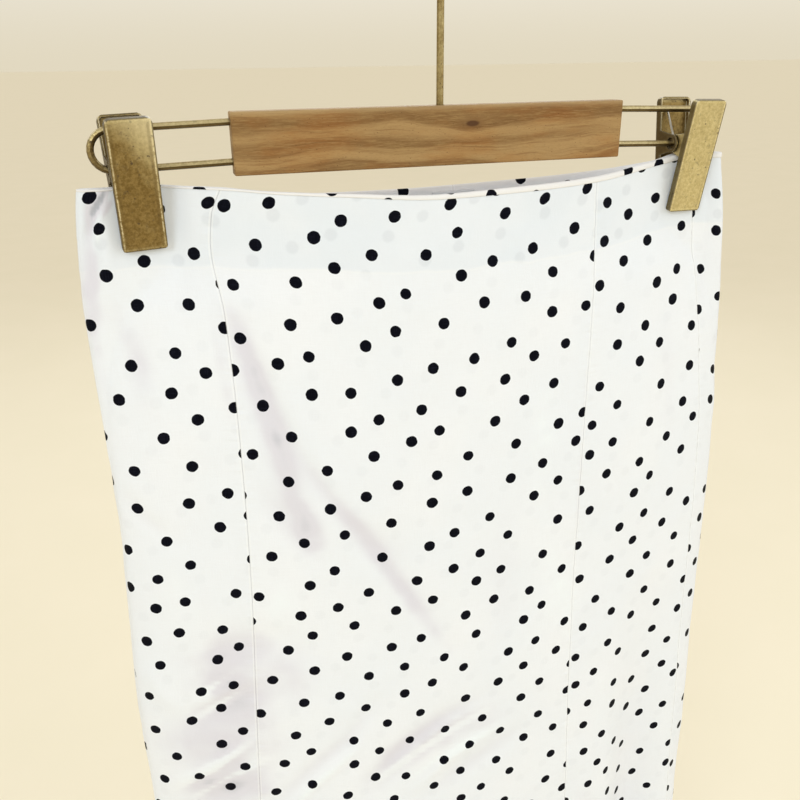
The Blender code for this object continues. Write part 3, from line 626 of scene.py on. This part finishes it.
# Creases of the front, read off the photograph: places as x and drop, then half width and
# height in millimetres. A trough has a height below zero
FRONT_CREASES = (
    (((-118, 44), (-109, 74), (-98, 114), (-87, 185)), 9.0, -1.3),
    (((-106, 66), (-92, 112), (-76, 150), (-50, 190), (-22, 236), (0, 276)), 7.0, -1.2),
    (((-101, 70), (-84, 118), (-66, 158), (-40, 205)), 5.0, 0.7),
    (((-108, 148), (-96, 172), (-87, 192)), 8.0, -1.0),
    (((-150, 262), (-128, 252), (-104, 252), (-80, 268)), 13.0, -1.9),
    (((-172, 318), (-150, 300), (-128, 286), (-98, 282)), 11.0, -1.6),
    (((-174, 352), (-150, 338), (-126, 322)), 4.0, 1.5),
    (((-158, 292), (-140, 285), (-122, 275)), 3.5, 1.2),
    (((-170, 372), (-146, 362), (-120, 348)), 9.0, -1.5),
    (((-112, 372), (-92, 352), (-66, 330), (-48, 306)), 6.0, -1.4),
    (((-104, 378), (-82, 356), (-60, 338)), 3.2, 1.4),
    (((-60, 384), (-36, 352), (-8, 330), (26, 318)), 10.0, -1.7),
    (((-52, 372), (-30, 352), (-4, 334), (22, 324)), 3.0, 1.5),
    (((-28, 384), (0, 362), (34, 346)), 3.2, 1.4),
    (((-20, 392), (10, 374), (46, 356), (58, 352)), 8.0, -1.3),
    (((-176, 150), (-166, 168), (-152, 182)), 4.5, -0.9),
    (((-178, 262), (-172, 280), (-160, 296)), 6.0, 1.0),
    (((-60, 178), (-40, 196), (-16, 204)), 10.0, -0.7),
    (((40, 150), (34, 220), (38, 300)), 16.0, -0.8),
    (((62, 210), (54, 280), (58, 350)), 12.0, 0.7),
    (((20, 70), (8, 130), (12, 190)), 14.0, 0.6),
    (((116, 90), (122, 150), (130, 220)), 9.0, 0.8),
    (((134, 60), (142, 120), (150, 190)), 7.0, -0.8),
    (((158, 30), (160, 55), (161, 84)), 1.6, 0.7),
    (((166, 24), (168, 60), (168, 92)), 4.0, -0.7),
    (((-128, 50), (-134, 100), (-136, 150)), 8.0, 0.6),
    (((-150, 60), (-158, 86), (-164, 120)), 6.0, -0.7),
    (((-159, -2), (-163, 3), (-168, 10), (-172, 22)), 1.9, -1.5),
    (((-160, 4), (-165, 11), (-170, 22)), 1.8, 1.1),
    (((-165, -2), (-169, 4), (-172, 12)), 1.7, -1.1),
    (((-167, 6), (-171, 20), (-173, 42)), 3.0, -1.2),
    (((-161, 12), (-165, 30), (-169, 56)), 3.0, 1.0),
    (((158, 2), (163, 12), (166, 30)), 2.2, -0.8),
    (((157, 10), (160, 24), (163, 44)), 2.4, 0.6),
    (((-60, 400), (-30, 430), (-6, 470)), 11.0, -1.2),
    (((30, 410), (8, 446), (-4, 486)), 9.0, 1.0),
    (((-150, 410), (-136, 450), (-126, 492)), 9.0, -1.1),
    (((96, 420), (110, 462), (128, 500)), 10.0, -1.0),
    (((60, 470), (74, 520), (84, 560)), 9.0, 0.9),
)
# Painted shade in the white, the same way. Below zero is a painted highlight, a lighter, cooler
# patch
FRONT_PAINTED_SHADING = (
    (((-111, 60), (-103, 92), (-94, 128), (-82, 190)), 5.5, 0.75),
    (((-84, 168), (-80, 184), (-77, 196)), 7.0, 0.7),
    (((-76, 146), (-56, 180), (-30, 226), (-2, 276)), 5.0, 0.6),
    (((-138, 250), (-134, 270), (-128, 290)), 12.0, 0.8),
    (((-166, 318), (-142, 322), (-120, 330)), 14.0, 0.8),
    (((-172, 352), (-146, 352), (-118, 356)), 9.0, 0.6),
    (((-52, 362), (-22, 348), (8, 338), (36, 336)), 11.0, 0.75),
    (((-176, 16), (-177, 60), (-175, 110)), 3.0, 0.4),
    (((-122, 60), (-118, 96), (-114, 130)), 4.0, 0.35),
    (((-168, 44), (-160, 74), (-152, 110)), 6.0, 0.3),
    (((84, 66), (82, 140), (82, 260)), 2.0, 0.3),
    (((-156, 302), (-140, 292), (-122, 280)), 2.2, -1.1),
    (((-162, 288), (-146, 281), (-128, 268)), 2.0, -0.9),
    (((-174, 354), (-152, 340), (-126, 322)), 2.3, -1.1),
    (((-162, 362), (-140, 348), (-116, 336)), 2.0, -0.9),
    (((-104, 378), (-82, 356), (-60, 338)), 2.2, -0.7),
    (((-48, 368), (-24, 352), (4, 338), (24, 330)), 2.4, -1.2),
    (((-36, 377), (-8, 360), (22, 347)), 2.0, -0.9),
    (((-8, 364), (16, 351), (42, 346)), 2.2, -1.1),
    (((-160, -3), (-163, 2.5), (-168, 10)), 1.6, 2.7),
    (((-159, 4), (-161.5, 7), (-166, 14)), 1.5, 2.3),
    (((-164, 0), (-168, 7), (-171, 18)), 2.4, 0.9),
    (((-168, 20), (-172, 36), (-174, 66)), 3.5, 0.6),
    (((-161, 6), (-166, 14), (-170, 28)), 1.8, -1.0),
    (((-150, 262), (-132, 288), (-112, 326)), 19.0, 0.5),
    (((-170, 330), (-142, 346), (-114, 372)), 17.0, 0.5),
    (((-112, 262), (-98, 276), (-86, 300)), 12.0, 0.4),
    (((60, 96), (56, 150), (48, 200)), 12.0, -0.5),
    (((-104, 200), (-98, 240), (-92, 270)), 12.0, -0.5),
    (((-158, 190), (-150, 230), (-146, 260)), 10.0, -0.4),
    (((60, 210), (74, 250), (80, 290)), 14.0, -0.5),
)
# Painted shade in the white of the back, the same way
BACK_PAINTED_SHADING = (
    (((-116, 56), (-98, 96), (-74, 146)), 6.0, 0.6),
    (((114, 54), (96, 94), (76, 138)), 6.0, 0.6),
    (((-56, 250), (-12, 262), (40, 256)), 11.0, 0.6),
    (((-140, 300), (-110, 318), (-84, 320)), 10.0, 0.6),
    (((30, 350), (62, 368), (98, 368)), 9.0, 0.6),
    (((10, 120), (16, 180), (10, 230)), 14.0, -0.4),
)
BACK_CREASES = (
    (((-120, 52), (-96, 96), (-70, 148), (-44, 190)), 9.0, -1.2),
    (((-132, 60), (-112, 104), (-92, 150)), 5.0, 0.8),
    (((118, 50), (94, 92), (72, 138), (58, 180)), 9.0, -1.2),
    (((130, 70), (108, 116), (92, 160)), 5.0, 0.8),
    (((-150, 150), (-120, 190), (-84, 214)), 8.0, -1.0),
    (((150, 160), (118, 200), (80, 222)), 8.0, -1.0),
    (((-60, 250), (-20, 262), (30, 252), (64, 262)), 11.0, -1.5),
    (((-76, 280), (-30, 296), (20, 288)), 5.0, 1.2),
    (((-40, 316), (6, 326), (56, 310)), 8.0, -1.4),
    (((70, 290), (104, 306), (140, 300)), 8.0, -1.2),
    (((-150, 300), (-116, 320), (-82, 322)), 9.0, -1.3),
    (((-130, 344), (-100, 356), (-62, 352)), 4.5, 1.1),
    (((20, 350), (60, 372), (100, 370)), 9.0, -1.1),
    (((-110, 390), (-80, 430), (-64, 470)), 10.0, -1.1),
    (((40, 400), (66, 446), (80, 490)), 10.0, -1.1),
    (((-20, 400), (-8, 450), (-14, 500)), 9.0, 0.9),
)
# Where the cloth starts to move freely, and where it does so fully: away from a clip, below the
# clips, away from the zip, below the facing and from the waist down
STILL = (10.5, 17.0)
BELOW_CLIPS = (44.0, 66.0)
ZIP_STILL = (12.0, 26.0)
BELOW_FACING = (26.0, 44.0)
FROM_WAIST = (-34.0, 24.0)
RUN = 760.0               # rough way round, in millimetres
WAVES = ((0.55, 46.0), (0.28, 19.0), (0.10, 7.0))    # height and cell of the slight waves
RIPPLE = (0.16, 8.6, 3.6)    # height, wave and reach of the pucker along a seam
PRINT_WARP = 1.4          # how far the cloth's give moves the print
ROUGH_SHADE, FOLD_SHADE = 0.5, 0.30    # weights of the patches' unevenness and of the folds


def crease_heights(creases, x, drop):
    total = np.zeros_like(x)
    for places, half_width, height in creases:
        stops = np.array(places, float)
        lengths = np.hypot(*np.diff(stops, axis=0).T)
        starts = np.concatenate([[0], np.cumsum(lengths)])
        nearest = np.full(x.shape, 1e9)
        share = np.zeros_like(x)
        for (x0, d0), (x1, d1), start, length in zip(stops, stops[1:], starts, lengths):
            t = np.clip(((x - x0) * (x1 - x0) + (drop - d0) * (d1 - d0)) / length**2, 0, 1)
            away = np.hypot(x - x0 - t * (x1 - x0), drop - d0 - t * (d1 - d0))
            closer = away < nearest
            nearest = np.where(closer, away, nearest)
            share = np.where(closer, (start + t * length) / starts[-1], share)
        taper = np.sin(np.clip(share, 0.04, 0.96) * math.pi) ** 0.6
        total += height * taper * np.exp(-((nearest / half_width) ** 2))
    return total


def soft_noise(x, y, cell, seed):
    """Smooth noise from -1 to 1 with cells of that size."""
    values = np.random.default_rng(seed).uniform(-1, 1, (256, 256))
    u, v = x / cell, y / cell
    i, j = np.floor(u).astype(int), np.floor(v).astype(int)
    s, t = u - i, v - j
    s, t = s * s * (3 - 2 * s), t * t * (3 - 2 * t)

    def at(a, b):
        return values[np.mod(a, 256), np.mod(b, 256)]

    low = at(i, j) * (1 - s) + at(i + 1, j) * s
    high = at(i, j + 1) * (1 - s) + at(i + 1, j + 1) * s
    return low * (1 - t) + high * t


def either(back, front_table, back_table, x, drop):
    heights = [crease_heights(table, x, drop) for table in (back_table, front_table)]
    return np.where(back, *heights)


def relief(x, drop, run, back):
    """Creases and slight waves of the cloth, in millimetres outwards. run is the way round."""
    leans = ((run, drop * 0.6), (run + drop * 0.3, drop - run * 0.2), (run, drop))
    waves = sum(height * soft_noise(u, v, cell, seed)
                for (height, cell), (u, v), seed in zip(WAVES, leans, (5, 6, 7)))
    total = either(back, FRONT_CREASES, BACK_CREASES, x, drop) + waves
    for clip_x in CLIP_X.values():
        near = ease(np.abs(x - clip_x), *STILL)
        total = total * np.maximum(near, ease(drop, *BELOW_CLIPS))
    by_zip = np.where(back, ease(np.abs(run - CENTRE_BACK * RUN), *ZIP_STILL), 1.0)
    total = total * np.maximum(by_zip, ease(drop, *BELOW_FACING))
    return total * ease(drop, *FROM_WAIST)


def seam_ripple(to_seam, drop, run):
    """Slight pucker along a seam."""
    height, wave, reach = RIPPLE
    uneven = 3.0 * soft_noise(run * 0 + drop, run * 0, 31.0, 8)
    swing = np.sin(drop * 2 * math.pi / wave + uneven)
    return height * swing * np.exp(-((to_seam / reach) ** 2)) * ease(drop, 4.0, 20.0)


def world(points):
    """Metres in the row's frame from millimetres from the bar's centre."""
    return (np.asarray(points) - np.array([STEM_X, 0.0, BAR_DROP])) * MM


def columns(drop, first, last, count):
    """Shares of a piece's columns, close together next to its seams, and how far in each lies."""
    share, _, _, per = ring(float(drop))
    start, end = line(drop, first), line(drop, last)
    scale = np.where(np.array([start % 1.0, end % 1.0]) > 0.5, per[1], per[0])
    steps = np.array(EDGE_STEPS) + EDGE
    head, tail = start + steps / scale[0], end - steps / scale[1]
    middle = np.linspace(head[-1], tail[-1], count + 1)
    shares = np.concatenate([head[:-1], middle, tail[:-1][::-1]])
    from_start = (shares - start) * scale[0]
    from_end = (end - shares) * scale[1]
    return shares, np.minimum(from_start, from_end) - EDGE


def printed(across, down, cut):
    """Lattice coordinates of the print for a piece cut from the cloth at that place."""
    shift_x, shift_y, turn = cut[0], cut[1], math.radians(cut[2])
    u = across * math.cos(turn) - down * math.sin(turn) + shift_x
    v = across * math.sin(turn) + down * math.cos(turn) + shift_y
    u = u + PRINT_WARP * soft_noise(u, v, 62.0, 11)
    v = v + PRINT_WARP * soft_noise(u, v, 55.0, 12)
    up = v / (DOT_PITCH * math.sin(math.radians(60)))
    return u / DOT_PITCH - up * 0.5, up


def grid_faces(rows, columns_, offset, flip):
    made = []
    for r in range(rows - 1):
        for c in range(columns_ - 1):
            a = offset + r * columns_ + c
            face = (a, a + columns_, a + columns_ + 1, a + 1)
            made.append(face[::-1] if flip else face)
    return made


def shell(name, outer, inner, maps, finishes, shades, inner_slot=0):
    """A closed thin shell between two grids of points, rows by columns by 3."""
    rows, cols = outer.shape[:2]
    count = rows * cols
    faces = grid_faces(rows, cols, 0, False)
    slots = [0] * len(faces)
    inside = grid_faces(rows, cols, count, True)
    faces += inside
    slots += [inner_slot] * len(inside)
    rim = [(r, 0) for r in range(rows)] + [(rows - 1, c) for c in range(1, cols)]
    rim += [(r, cols - 1) for r in range(rows - 2, -1, -1)]
    rim += [(0, c) for c in range(cols - 2, 0, -1)]
    ids = [r * cols + c for r, c in rim]
    for a, b in zip(ids, ids[1:] + ids[:1]):
        faces.append((a, a + count, b + count, b))
        slots.append(0)
    points = world(np.concatenate([outer.reshape(-1, 3), inner.reshape(-1, 3)]))
    mesh = bpy.data.meshes.new(name)
    mesh.from_pydata([tuple(p) for p in points], [], faces)
    corners = np.array([v for face in faces for v in face]) % count
    for map_name, values in maps.items():
        flat = np.ascontiguousarray(values.reshape(-1, 2)[corners], np.float32).ravel()
        mesh.uv_layers.new(name=map_name).data.foreach_set("uv", flat)
    shaded = mesh.attributes.new("shade", "FLOAT", "POINT")
    shaded.data.foreach_set("value", np.float32(np.tile(shades.ravel(), 2)))
    for finish in finishes:
        mesh.materials.append(finish)
    mesh.polygons.foreach_set("material_index", slots)
    mesh.shade_smooth()
    made = bpy.data.objects.new(name, mesh)
    bpy.context.scene.collection.objects.link(made)
    return made


def cut_maps(places, to_seam, drops, cut):
    """A piece's flat size, and its UV maps: flat cut, place on the print, distance from edges."""
    middle = places.shape[1] // 2
    steps = np.linalg.norm(np.diff(places, axis=1), axis=2)
    run = np.concatenate([np.zeros((len(places), 1)), np.cumsum(steps, axis=1)], axis=1)
    across = run - run[:, middle:middle + 1]
    falls = np.linalg.norm(np.diff(places, axis=0), axis=2)
    fall = np.concatenate([np.zeros((1, places.shape[1])), np.cumsum(falls, axis=0)])
    down = 0.6 * fall + 0.4 * fall[:, middle:middle + 1]
    u, v = printed(across, down, cut)
    depth = np.repeat(np.asarray(drops, float)[:, None], places.shape[1], axis=1)
    maps = {
        "cut": np.stack([across, down], -1) * MM,
        "print": np.stack([u, v], -1),
        "edges": np.stack([to_seam, depth], -1) * MM,
    }
    area = float((steps[:-1] * falls[:, :-1]).sum()) * 1e-6
    return maps, (float((run[:, -1]).max()) * MM, float(fall[:, middle].max()) * MM, area)


def places_on(drop, shares):
    """The plain x, the drop, the rough way round and whether it is the back, at each share."""
    share, x, _, _ = ring(float(drop))
    turned = np.mod(shares, 1.0)
    here, drops = np.interp(turned, share, x), np.full_like(shares, float(drop))
    return here, drops, turned * RUN, turned > 0.5


def layer(drop, shares, to_seam, depth=0.0):
    """Points and outward vectors of the creased cloth, depth millimetres in from its face."""
    plain, out = point(drop, shares), normal(drop, shares)
    here, drops, run, back = places_on(drop, shares)
    rise = relief(here, drops, run, back)
    if to_seam is not None:
        rise = rise + seam_ripple(to_seam, drops, run)
    return plain + out * (rise - depth)[:, None], out


def shade(drop, shares):
    """How much painted shade the white gets, from -1 to 2: in creases, folds and flute valleys, with
    a painted highlight below zero.
    """
    here, drops, run, back = places_on(drop, shares)
    patches = either(back, FRONT_PAINTED_SHADING, BACK_PAINTED_SHADING, here, drops)
    folds = either(back, FRONT_CREASES, BACK_CREASES, here, drops)
    rough = soft_noise(run + drops * 0.5, drops - run * 0.4, 9.0, 21) * np.abs(patches)
    # Painted shade in the valleys of the flutes
    valleys = flute_depth(np.mod(shares, 1.0), float(drop)) / FLUTE_FULL
    return np.clip(patches + ROUGH_SHADE * rough - FOLD_SHADE * folds + valleys, -1, 2)


def panel(name, finishes):
    first, last, count, cut = PANELS[name]
    stitching = LENGTH - HEM_TURN
    plain_rows = np.arange(27.0, stitching - 2, ROWS[name.split("_")[0]])
    drops = np.concatenate([WAIST_ROWS, np.arange(3.0, 26.0, 1.5), plain_rows,
                            stitching + np.array(STITCH_ROWS), LENGTH - np.array(LAST_ROWS)])
    outer, inner, seams, shades = [], [], [], []
    for drop in drops:
        shares, to_seam = columns(drop, first, last, count)
        shades.append(shade(drop, shares))
        curl = CURL_DEPTH * np.clip(1 - to_seam / CURL, 0, 1) ** 3
        above = max(0.0, 1 - drop / WAIST_ROLL[1])
        roll = WAIST_ROLL[0] * above**3
        below = max(0.0, 1 - (LENGTH - drop) / HEM_FOLD[1])
        turn = HEM_FOLD[0] * (1 - math.sqrt(1 - below**2))
        from_stitches = (LENGTH - drop - HEM_TURN) / HEM_STITCH[1]
        stitch = HEM_STITCH[0] * math.exp(-(from_stitches**2))
        doubled = HEM_DOUBLED * float(ease(drop, stitching - 0.8, stitching + 0.2))
        places, out = layer(drop, shares, to_seam)
        sunk = np.maximum(curl, roll + turn + stitch)
        outer.append(places - out * sunk[:, None])
        thick = SHEET + doubled * (1 - below * 0.8)
        inner.append(places - out * (sunk + thick)[:, None])
        seams.append(to_seam)
    outer, inner = np.array(outer), np.array(inner)
    maps, measured = cut_maps(outer, np.array(seams), drops, cut)
    made = shell(name + "_cloth", outer, inner, maps, finishes, np.array(shades), 1)
    return made, measured


# Drop and depth of the facing's turned edge, over the waist seam. Its height grows from a share
# at the left to the whole at the right
TURNED_EDGE = ((-0.03, 0.12), (-0.3, 0.03), (-0.9, 0.0), (-1.6, 0.06), (-2.1, 0.2), (-2.35, 0.5),
               (-2.4, 1.0), (-2.3, 1.5))
TURN_LOW = 0.3
TURN_GROWS = (-130.0, 60.0)


def facing(name, finishes):
    """The strip inside the waist, turned over the seam: swept along its section."""
    first, last, count, cut = FACINGS[name]
    thick = CLOTH + GAP + SHEET
    downs = [-1.9, 0.0, 1.5, *np.arange(3.0, FACING_DEPTH, 4.0)]
    downs += [FACING_DEPTH - 1.0, FACING_DEPTH - 0.3, FACING_DEPTH]
    section = np.array([*TURNED_EDGE, *((d, thick) for d in downs)])
    steps = np.gradient(section, axis=0)
    steps /= np.linalg.norm(steps, axis=1, keepdims=True)
    side = np.stack([-steps[:, 1], steps[:, 0]], 1)
    sides, seams = ([], []), []
    lengths = np.concatenate([[0], np.cumsum(np.hypot(*np.diff(section, axis=0).T))])
    for stops in zip(section, section + side * SHEET):
        for rows, (drop, depth) in zip(sides, stops):
            shares, to_seam = columns(max(drop, 0.0), first, last, count)
            places, _ = layer(max(drop, 0.0), shares, None, depth)
            if drop < 0:
                grown = TURN_LOW + (1 - TURN_LOW) * ease(places[:, 0], *TURN_GROWS)
                places[:, 2] += -drop * grown
            rows.append(places)
        seams.append(to_seam)
    outer, inner = (np.array(rows) for rows in sides)
    maps, measured = cut_maps(outer, np.array(seams), lengths, cut)
    made = shell(name + "_cloth", inner, outer, maps, finishes, np.zeros(outer.shape[:2]))
    return made, measured


TAPE_THICK = 0.5
TAPE_HALF = (0.5, 1.2, 3, 6, 9, 11.6, 12.0)    # columns on each side of the seam
TAPE_RAISED = 0.35        # coil under the tape, next to the seam


def tape(finish):
    """The zip's woven tape behind the centre back seam."""
    drops = np.concatenate([[0.0, 0.6], np.arange(4.0, 199.0, 4.0), [199.4, 200.0]])
    behind = CLOTH + 1.0 + 2 * GAP
    offsets = np.array([*(-away for away in reversed(TAPE_HALF)), *TAPE_HALF])
    raised = np.where(np.abs(offsets) == TAPE_HALF[0], TAPE_RAISED, 0.0)
    outer, inner = [], []
    for drop in drops:
        per = ring(float(drop))[3][1]
        places, out = layer(drop, CENTRE_BACK + offsets / per, None, behind)
        outer.append(places)
        inner.append(places - out * (TAPE_THICK + raised)[:, None])
    outer, inner = np.array(outer), np.array(inner)
    far = np.full(outer.shape[:2], 50.0)
    maps, _ = cut_maps(outer, far, drops, (0.0, 0.0, 0.0))
    return shell("zip_tape_cloth", outer, inner, maps, [finish], np.zeros(outer.shape[:2]))


def camera():
    yaw, pitch, roll = (math.radians(a) for a in (CAMERA_YAW, CAMERA_PITCH, CAMERA_ROLL))
    right = Vector((math.cos(yaw), math.sin(yaw), 0))
    ahead = Vector((-math.sin(yaw), math.cos(yaw), 0))
    up = Vector((0, 0, 1))
    look = ahead * math.cos(pitch) - up * math.sin(pitch)
    top = ahead * math.sin(pitch) + up * math.cos(pitch)
    x_axis = right * math.cos(roll) + top * math.sin(roll)
    y_axis = top * math.cos(roll) - right * math.sin(roll)
    turn = Matrix((x_axis, y_axis, -look)).transposed().to_4x4()
    data = bpy.data.cameras.new("camera")
    data.lens = CAMERA_LENS
    data.sensor_width = 36.0
    data.clip_start = 0.02
    data.clip_end = 100.0
    made = bpy.data.objects.new("camera", data)
    made.matrix_world = Matrix.Translation(CAMERA_AT) @ turn
    bpy.context.scene.collection.objects.link(made)
    bpy.context.scene.camera = made


def light(name, place, target, size, power, colour):
    data = bpy.data.lights.new(name, "AREA")
    data.shape = "DISK"
    data.size = size
    data.energy = power
    data.color = colour
    made = bpy.data.objects.new(name, data)
    made.location = place
    made.rotation_mode = "QUATERNION"
    made.rotation_quaternion = (Vector(target) - Vector(place)).to_track_quat("-Z", "Y")
    bpy.context.scene.collection.objects.link(made)


# Soft lights: name, place, target, size, power, colour
LIGHTS = (
    ("key", (-1.5, -1.9, 0.9), (0, 0, -0.35), 1.1, 21.0, (0.80, 0.90, 1.0)),
    ("fill", (1.7, -1.3, 0.3), (0, 0, -0.4), 1.6, 9.0, (0.80, 0.90, 1.0)),
    ("back", (0.6, 1.9, 0.9), (0, 0, -0.35), 1.4, 11.0, (0.82, 0.91, 1.0)),
)
FLOOR_REACH = 60.0
FLOOR_CORNERS = ((-1, -1), (1, -1), (1, 1), (-1, 1))


def studio():
    """A pale floor in a pale room, darker low down at the front left, brighter at the right."""
    corners = [(x * FLOOR_REACH, y * FLOOR_REACH, FLOOR_Z) for x, y in FLOOR_CORNERS]
    floor = bpy.data.meshes.new("floor")
    floor.from_pydata(corners, [], [(0, 1, 2, 3)])
    made = bpy.data.objects.new("floor", floor)
    bpy.context.scene.collection.objects.link(made)
    finish = bpy.data.materials.new("floor")
    graph = Graph(finish)
    mottle = graph.noise(graph.node("TexCoord", out="Object"), 6.0, 3.0)
    paint = graph.mix(mottle, rgb(0.845, 0.775, 0.605), rgb(0.88, 0.80, 0.64))
    graph.set(Base_Color=paint, Roughness=0.95)
    floor.materials.append(finish)

    sky = bpy.data.worlds.new("pale")
    graph = Graph(sky)
    towards = graph.node("TexCoord", out="Generated")
    share = graph.ramp(graph.dot(towards, (0.62, 0.42, 0.66)), -0.9, 0.8)
    tone = graph.mix(share, rgb(0.62, 0.59, 0.50), rgb(0.92, 0.885, 0.80))
    rise = graph.ramp(graph.parts(towards)[2], -0.02, 0.16)
    colour = graph.mix(rise, rgb(0.76, 0.69, 0.53), tone)
    graph.put(graph.tree.nodes["Background"].inputs[0], colour)
    bpy.context.scene.world = sky
    for settings in LIGHTS:
        light(*settings)
    bpy.context.scene.view_settings.view_transform = "Standard"


for old in list(bpy.data.objects):
    bpy.data.objects.remove(old)
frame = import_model()
camera()
studio()

RIGHT_SIDE = cloth_material("dotted_cloth")
WRONG_SIDE = cloth_material("dotted_cloth_inside", wrong_side=True)
FACING_SIDE = cloth_material("dotted_facing", facing=True)
PLATES = {place: plate_face(frame["nodes"][f"clip_{place}_plate"])
          for place in ("left_front", "right_front", "left_back", "right_back")}
# Where the painted highlight on the left plate's brass starts, and the direction in which it grows
PAINTED_GLEAM = ((-0.148, 0.0, -0.118), (0.75, 0.0, 0.66))
# The front plates are one brass painted two ways: the left darker and the right brighter, as painted
# reflections
BRASS_LEFT = brass_material("antique_brass_left", 1.0, 0.9, PAINTED_GLEAM,
                            plate=PLATES["left_front"], rim=0.75)
BRASS_RIGHT = brass_material("antique_brass_right", 0.16, 0.5,
                             plate=PLATES["right_front"], rim=0.35)
BRASS_BACK_LEFT, BRASS_BACK_RIGHT = (
    brass_material(f"antique_brass_back_{side}", 1.0, 0.7, plate=PLATES[f"{side}_back"], rim=0.5)
    for side in ("left", "right"))
BRASS_WIRE = brass_material("antique_brass_wire", 0.75, 0.8, wire=True)
STEEL = steel_material()
WOOD = wood_material()
TAPE = tape_material()

for cloth_name in (*PANELS, *FACINGS):
    if cloth_name in PANELS:
        piece, measured = panel(cloth_name, [RIGHT_SIDE, WRONG_SIDE])
    else:
        piece, measured = facing(cloth_name, [FACING_SIDE])
    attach(piece, BODY)
    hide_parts(cloth_name)

zip_cloth = tape(TAPE)
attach(zip_cloth, BODY)
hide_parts("zip_tape")

# Better materials on the hard nodes, whose shapes stay
for finish, names in (
    (WOOD, ("bar",)),
    (BRASS_WIRE, ("wire_loop_left", "wire_loop_right", "hook")),
    (BRASS_LEFT, ("clip_left_front_plate",)),
    (BRASS_BACK_LEFT, ("clip_left_back_plate",)),
    (BRASS_RIGHT, ("clip_right_front_plate",)),
    (BRASS_BACK_RIGHT, ("clip_right_back_plate",)),
    (STEEL, ("clip_left_spring", "clip_right_spring", "zip_slider", "zip_pull")),
):
    for name in names:
        data = frame["nodes"][name].data
        data.materials.clear()
        data.materials.append(finish)
